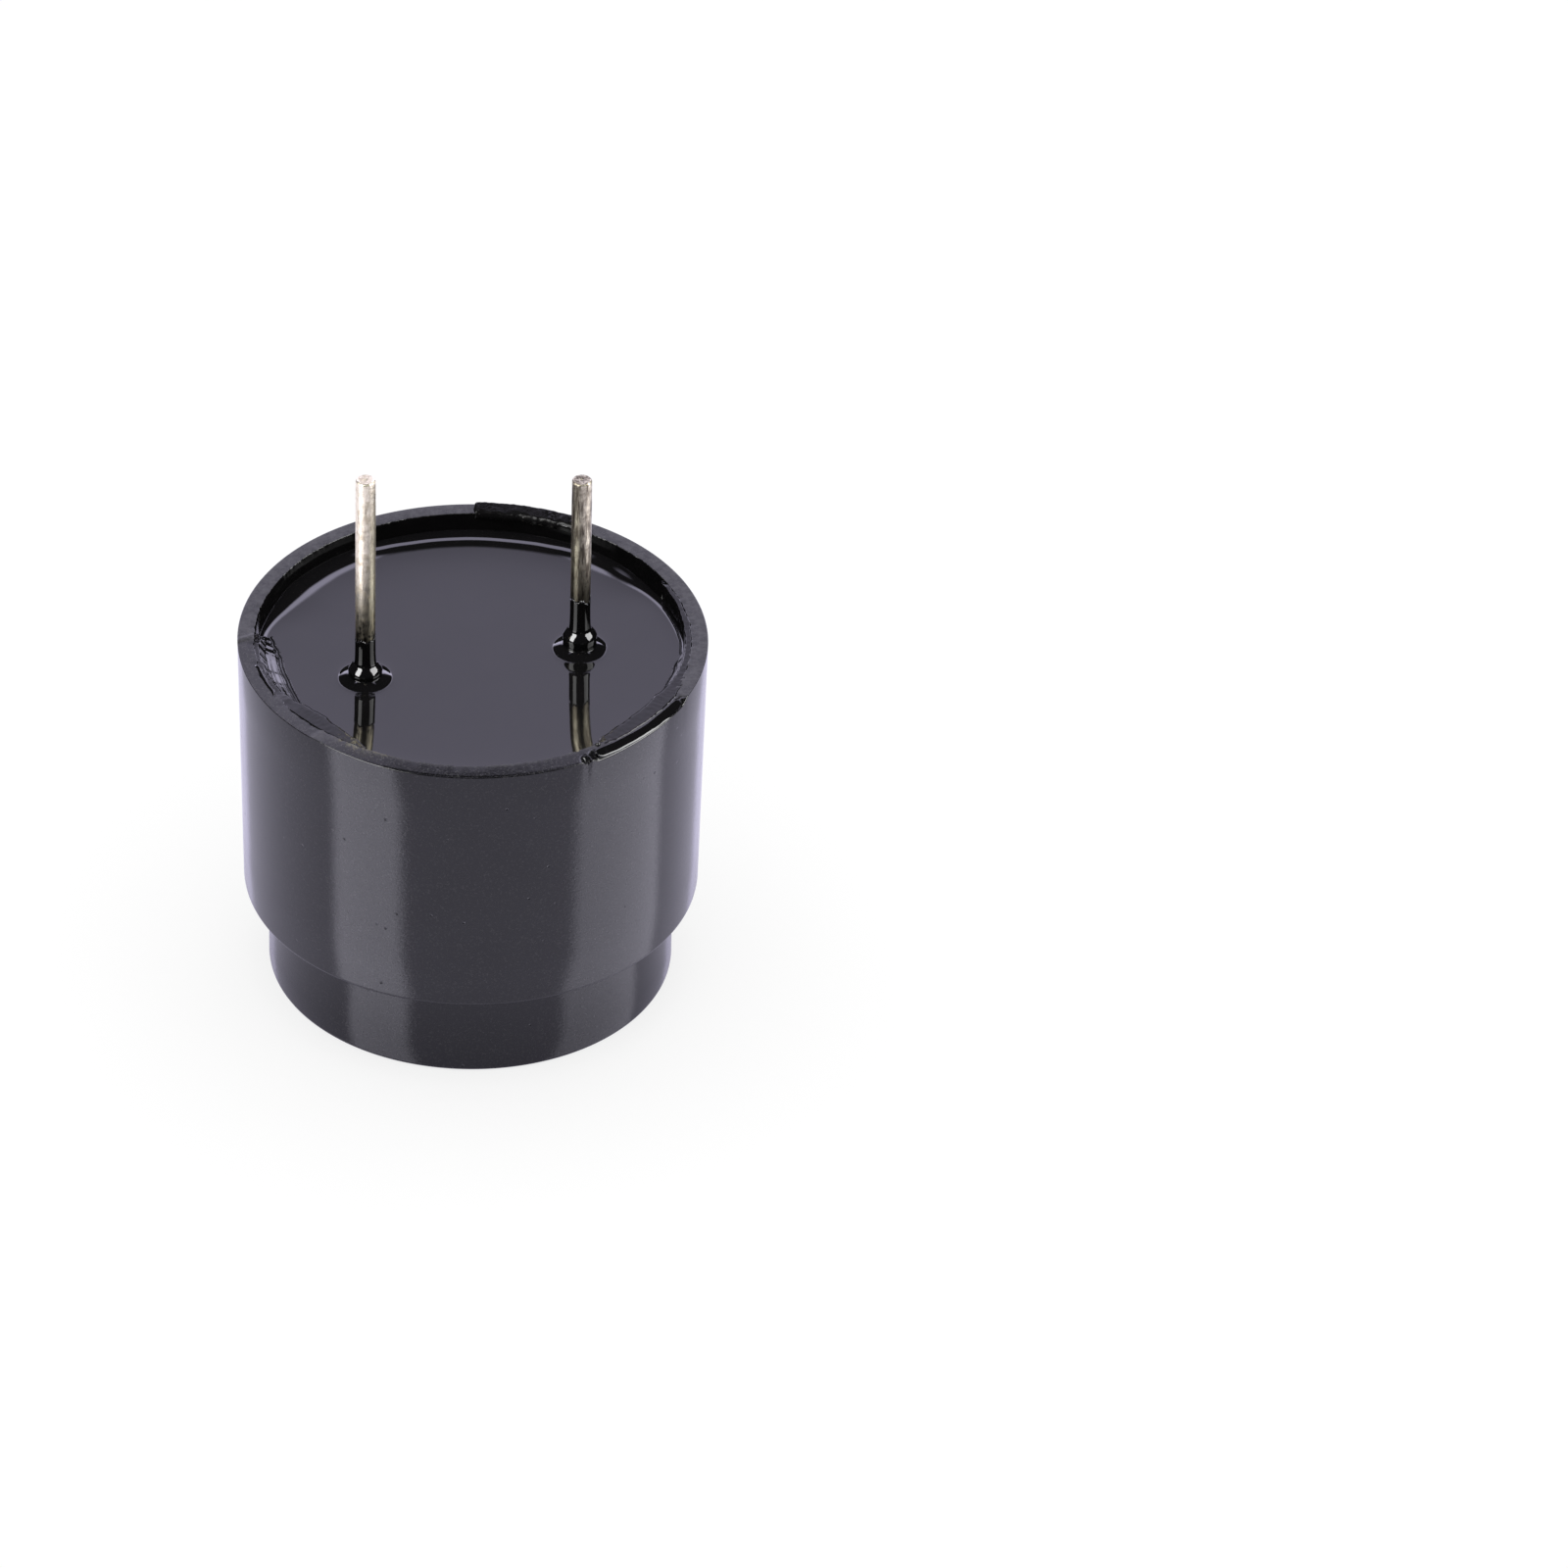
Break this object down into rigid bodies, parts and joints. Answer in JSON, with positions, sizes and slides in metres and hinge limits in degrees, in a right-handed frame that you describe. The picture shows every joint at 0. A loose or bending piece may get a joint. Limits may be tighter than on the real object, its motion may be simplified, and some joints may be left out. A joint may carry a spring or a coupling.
{
  "type": "piezo buzzer",
  "caption": "Round stepped black case with a flared sound hole in its front face, a resin-sealed back and two straight pins.",
  "frame": {"origin": "centre of the sound-hole face, on the surface that it stands on", "axes": "+Z along the case towards the pins, the two pins in a row along X, the longer (positive) one at -X"},
  "size_m": [0.023, 0.023, 0.0292],
  "materials": {
    "case_plastic": "satin moulded black plastic",
    "potting_resin": "glossy black epoxy",
    "tinned_pin": "tinned copper-clad steel wire, streaked",
    "brass_disc": "rolled brass",
    "piezo_ceramic": "sintered matt ceramic",
    "silver_layer": "fired silver",
    "silicone": "cured silicone",
    "ring_plastic": "moulded black plastic",
    "board_laminate": "green solder mask on laminate",
    "package_plastic": "moulded black package",
    "resistor_body": "chip with a glazed black face",
    "capacitor_body": "tan sintered chip",
    "ferrite": "dark sintered ferrite",
    "copper_wire": "enamelled copper wire",
    "solder": "bright solder",
    "lead_insulation": "red wire insulation"
  },
  "bodies": {
    "root": {"case": "case_plastic", "diaphragm_plate": "brass_disc", "piezo_ceramic": "piezo_ceramic", "main_electrode": "silver_layer", "feedback_electrode": "silver_layer", "diaphragm_adhesive": "silicone", "spacer_ring": "ring_plastic", "circuit_board": "board_laminate", "driver_transistor": "package_plastic", "base_resistor": "resistor_body", "feedback_resistor": "resistor_body", "load_resistor": "resistor_body", "bypass_capacitor": "capacitor_body", "polarity_diode": "package_plastic", "choke_core": "ferrite", "choke_winding": "copper_wire", "positive_solder": "solder", "negative_solder": "solder", "potting_resin": "potting_resin", "positive_pin": "tinned_pin", "negative_pin": "tinned_pin", "main_lead": "lead_insulation", "main_board_solder": "solder", "main_disc_solder": "solder", "feedback_lead": "lead_insulation", "feedback_board_solder": "solder", "feedback_disc_solder": "solder", "plate_lead": "lead_insulation", "plate_board_solder": "solder", "plate_disc_solder": "solder"}
  },
  "joints": []
}
